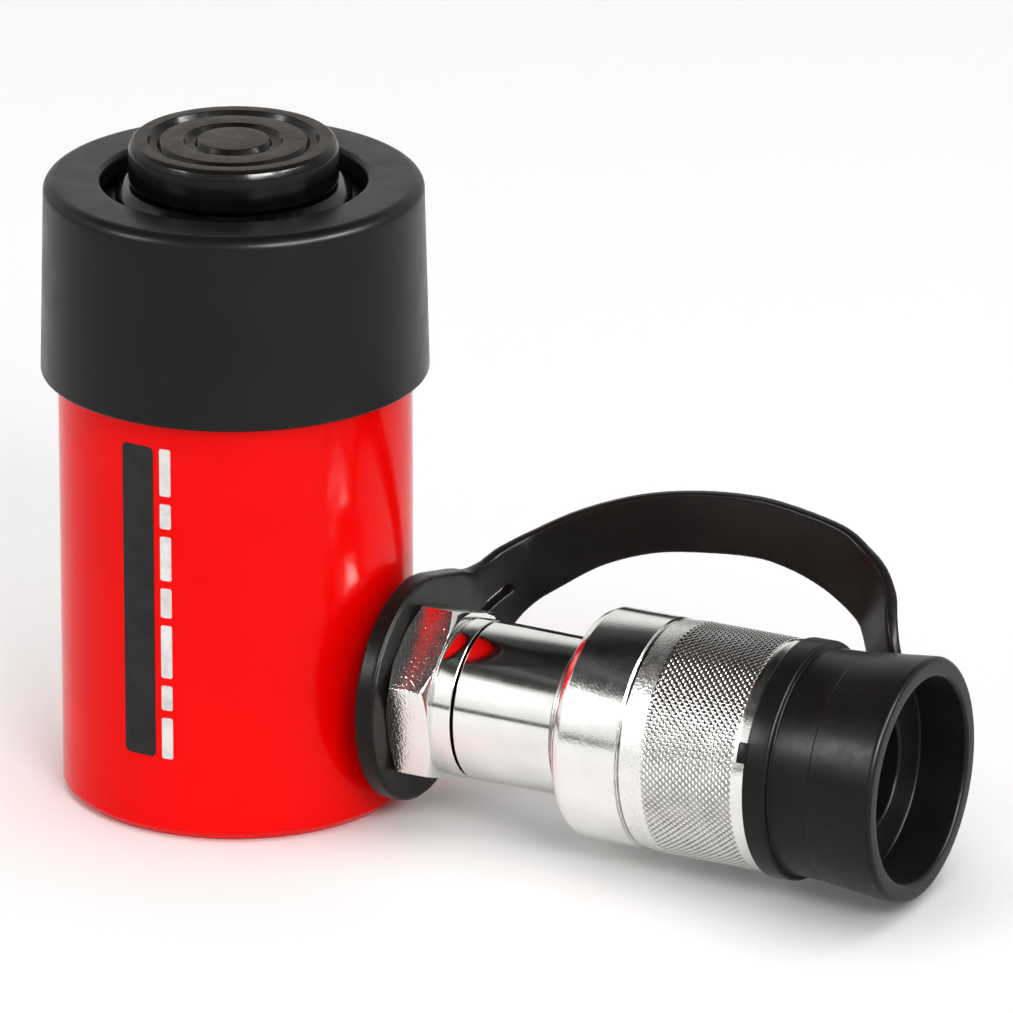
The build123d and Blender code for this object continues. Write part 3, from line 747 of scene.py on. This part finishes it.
def spline(points, per=12):
    """Catmull-Rom through the points, with the same number of steps between each pair."""
    p = np.array(points, float)
    p = np.vstack([2 * p[0] - p[1], p, 2 * p[-1] - p[-2]])
    out = []
    for i in range(1, len(p) - 2):
        for k in range(per):
            t = k / per
            out.append(0.5 * ((2 * p[i]) + (p[i + 1] - p[i - 1]) * t + (2 * p[i - 1] - 5 * p[i] + 4 * p[i + 1] - p[i + 2]) * t ** 2
                              + (3 * p[i] - p[i - 1] - 3 * p[i + 1] + p[i + 2]) * t ** 3))
    out.append(p[-2])
    return np.array(out)


def band(name, stations, thick, corner=0.55):
    centre = spline([s[0] for s in stations])
    half = spline([s[1] for s in stations])
    n = len(centre)
    verts, faces, sec = [], [], 0
    for i in range(n):
        t = centre[min(i + 1, n - 1)] - centre[max(i - 1, 0)]
        t /= np.linalg.norm(t)
        w = half[i] - t * (half[i] @ t)
        hw = np.linalg.norm(half[i])
        w /= np.linalg.norm(w)
        o = np.cross(w, t)
        ring = []
        for cx, cy, s in ((hw - corner, thick / 2 - corner, 0), (-(hw - corner), thick / 2 - corner, 90),
                          (-(hw - corner), -(thick / 2 - corner), 180), (hw - corner, -(thick / 2 - corner), 270)):
            for k in range(4):
                a = math.radians(s + 30 * k)
                ring.append(centre[i] + w * (cx + corner * math.cos(a)) + o * (cy + corner * math.sin(a)))
        sec = len(ring)
        verts += ring
    for i in range(n - 1):
        for j in range(sec):
            k = (j + 1) % sec
            faces.append((i * sec + j, i * sec + k, (i + 1) * sec + k, (i + 1) * sec + j))
    faces.append(tuple(range(sec))[::-1])
    faces.append(tuple((n - 1) * sec + j for j in range(sec)))
    return new_object(name, np.array(verts) * MM, faces)


# the loop is a flat plate whose rim runs out tangent into the tab
plate = [(18.5 * math.cos(a), AXIS_Z + 18.5 * math.sin(a)) for a in np.radians(np.linspace(74.5, 316.0, 120))]
plate += [(16.5, 12.3), (18.8, 15.4), (19.6, 17.0), (19.8, 22.0), (19.8, 30.0), (19.1, 33.6), (17.6, 35.6), (15.2, 36.7), (12.2, 37.5)]
loop = prism("loop_part", [(30.95, *c) for c in plate], [(34.15, *c) for c in plate])
combine(loop, rod("h", (29, 0, AXIS_Z), (1, 0, 0), 10.1, 8, 96), "DIFFERENCE")
bevelled(loop, 1.0, 50, 3)
strap = band("dust_cap_strap_band", STATIONS, 2.15)
bm = bmesh.new()
bm.from_mesh(strap.data)
bm.from_mesh(loop.data)
bm.to_mesh(strap.data)
bm.free()
bpy.data.objects.remove(loop)
rm = strap.modifiers.new("remesh", "REMESH")
rm.mode = "VOXEL"
rm.voxel_size = 0.28 * MM
bake(strap)
# the slit that lets the loop open over the neck
slit = prism("h", [(29, 9.0, 23.6), (29, 20.8, 26.7), (29, 27.9, 29.3), (29, 27.4, 30.6), (29, 20.4, 28.0), (29, 8.6, 24.9)],
             [(39, 9.0, 23.6), (39, 20.8, 26.7), (39, 27.9, 29.3), (39, 27.4, 30.6), (39, 20.4, 28.0), (39, 8.6, 24.9)])
combine(strap, slit, "DIFFERENCE")
rm = strap.modifiers.new("remesh", "REMESH")
rm.mode = "VOXEL"
rm.voxel_size = 0.28 * MM
bake(strap)
sm = strap.modifiers.new("smooth", "SMOOTH")
sm.factor = 0.5
sm.iterations = 5
bake(strap)
root = strap.vertex_groups.new(name="root")
for v in strap.data.vertices:
    y, z = v.co.y / MM, v.co.z / MM
    w = max(0.0, 1.0 - math.hypot(y - 20.0, (z - 32.5) * 1.1) / 8.5)
    if w > 0:
        root.add([v.index], min(1.0, 1.6 * w), "REPLACE")
sm = strap.modifiers.new("smooth_root", "SMOOTH")
sm.factor = 0.5
sm.iterations = 40
sm.vertex_group = "root"
bake(strap)
strap.vertex_groups.clear()
strap.data.shade_smooth()
strap.data.materials.clear()
strap.data.materials.append(M["rubber"])
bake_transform(strap)
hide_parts("dust_cap_strap")

# =====================================================================
# stage, light, camera
# =====================================================================
floor_me = bpy.data.meshes.new("floor")
S = 9.0
floor_me.from_pydata([(-S, -S, 0), (S, -S, 0), (S, S, 0), (-S, S, 0)], [], [(0, 1, 2, 3)])
floor = bpy.data.objects.new("floor", floor_me)
bpy.context.scene.collection.objects.link(floor)
fm = bpy.data.materials.new("pale_floor")
fm.use_nodes = True
fb = fm.node_tree.nodes["Principled BSDF"]
fb.inputs["Base Color"].default_value = (0.86, 0.86, 0.86, 1)
fb.inputs["Roughness"].default_value = 0.75
fb.inputs["Specular IOR Level"].default_value = 0.2
floor_me.materials.append(fm)
floor.location.z = -0.0001

world = bpy.data.worlds.new("studio")
bpy.context.scene.world = world
world.use_nodes = True
wt = world.node_tree
bg = wt.nodes["Background"]
tc = wt.nodes.new("ShaderNodeTexCoord")
sep = wt.nodes.new("ShaderNodeSeparateXYZ")
wt.links.new(tc.outputs["Generated"], sep.inputs[0])


def wmath(op, x, y=None, clamp=False):
    n = wt.nodes.new("ShaderNodeMath")
    n.operation = op
    n.use_clamp = clamp
    for i, v in enumerate((x, y)):
        if v is None:
            continue
        if hasattr(v, "links"):
            wt.links.new(v, n.inputs[i])
        else:
            n.inputs[i].default_value = v
    return n.outputs[0]


def wramp(value, stops, lo=0.0, hi=1.0):
    mr = wt.nodes.new("ShaderNodeMapRange")
    mr.inputs["From Min"].default_value, mr.inputs["From Max"].default_value = lo, hi
    wt.links.new(value, mr.inputs["Value"])
    r = wt.nodes.new("ShaderNodeValToRGB")
    els = r.color_ramp.elements
    while len(els) < len(stops):
        els.new(0.5)
    for i, (p, c) in enumerate(stops):
        els[i].position = (p - lo) / (hi - lo)
        els[i].color = (c, c, c, 1)
    wt.links.new(mr.outputs["Result"], r.inputs["Fac"])
    return r.outputs["Color"]


# a white wall all round up to about 45 degrees, dark above it. Height is sin(elevation).
front_wall = wramp(sep.outputs["Z"], [(0.0, 0.16), (0.055, 0.16), (0.11, 0.95), (0.35, 1.25), (0.66, 1.1), (0.73, 0.09), (0.80, 0.045), (0.87, 0.13), (0.90, 0.05), (1.0, 0.05)])
back_wall = wramp(sep.outputs["Z"], [(0.0, 0.45), (0.03, 0.75), (0.10, 0.95), (0.42, 0.95), (0.55, 0.70), (0.64, 0.25), (0.70, 0.08), (0.80, 0.05), (0.86, 0.015), (0.90, 0.012), (1.0, 0.03)])
right_wall = wramp(sep.outputs["Z"], [(0.0, 0.20), (0.10, 0.55), (0.50, 0.70), (0.70, 0.45), (0.80, 0.05), (1.0, 0.03)])
# front is towards -Y, right towards +X
side = wramp(sep.outputs["Y"], [(-0.16, 0.0), (0.05, 1.0)], -1.0, 1.0)
mix1 = wt.nodes.new("ShaderNodeMix")
mix1.data_type = "RGBA"
wt.links.new(side, mix1.inputs["Factor"])
wt.links.new(front_wall, mix1.inputs["A"])
wt.links.new(back_wall, mix1.inputs["B"])
toright = wramp(sep.outputs["X"], [(0.15, 0.0), (0.75, 1.0)], -1.0, 1.0)
mix2 = wt.nodes.new("ShaderNodeMix")
mix2.data_type = "RGBA"
wt.links.new(toright, mix2.inputs["Factor"])
wt.links.new(mix1.outputs["Result"], mix2.inputs["A"])
wt.links.new(right_wall, mix2.inputs["B"])
wt.links.new(mix2.outputs["Result"], bg.inputs["Color"])
bg.inputs["Strength"].default_value = 1.0


def area(name, loc, target, size, power, glossy=True, size_y=None):
    li = bpy.data.lights.new(name, "AREA")
    li.shape = "RECTANGLE"
    li.size, li.size_y = size, size_y or size
    li.energy = power
    ob = bpy.data.objects.new(name, li)
    bpy.context.scene.collection.objects.link(ob)
    ob.location = loc
    ob.rotation_euler = (Vector(target) - Vector(loc)).to_track_quat("-Z", "Y").to_euler()
    ob.visible_glossy = glossy
    return ob


TARGET = (0.04, 0.0, 0.05)
area("top_soft", (0.1, 0.0, 1.6), TARGET, 1.8, 22, glossy=False)
area("key_soft", (0.9, -0.9, 0.9), TARGET, 0.5, 9, glossy=False)
# strip lights that only the shiny edges pick up
for i, (az, wide, power) in enumerate(((-39.0, 0.9, 50), (60.0, 1.3, 150), (97.0, 1.3, 120))):
    a = math.radians(az)
    box = area("strip_%d" % i, (0.04 + 2.5 * math.sin(a), -2.5 * math.cos(a), 0.05 + 1.45), TARGET, wide, power, size_y=0.5)
    box.visible_diffuse = False

cam_data = bpy.data.cameras.new("camera")
cam = bpy.data.objects.new("camera", cam_data)
bpy.context.scene.collection.objects.link(cam)
EYE = Vector((0.9279, -1.7235, 0.784))
AIM = Vector((0.04902, 0.0, 0.05540))
back = (EYE - AIM).normalized()
rot = back.to_track_quat("Z", "Y").to_matrix()
roll = Matrix.Rotation(math.radians(-0.024), 3, back)
cam.matrix_world = Matrix.Translation(EYE) @ (roll @ rot).to_4x4()
cam_data.sensor_width = 36.0
cam_data.lens = 459.6
cam_data.clip_start, cam_data.clip_end = 0.05, 60
bpy.context.scene.camera = cam
bpy.context.scene.view_settings.view_transform = "Standard"
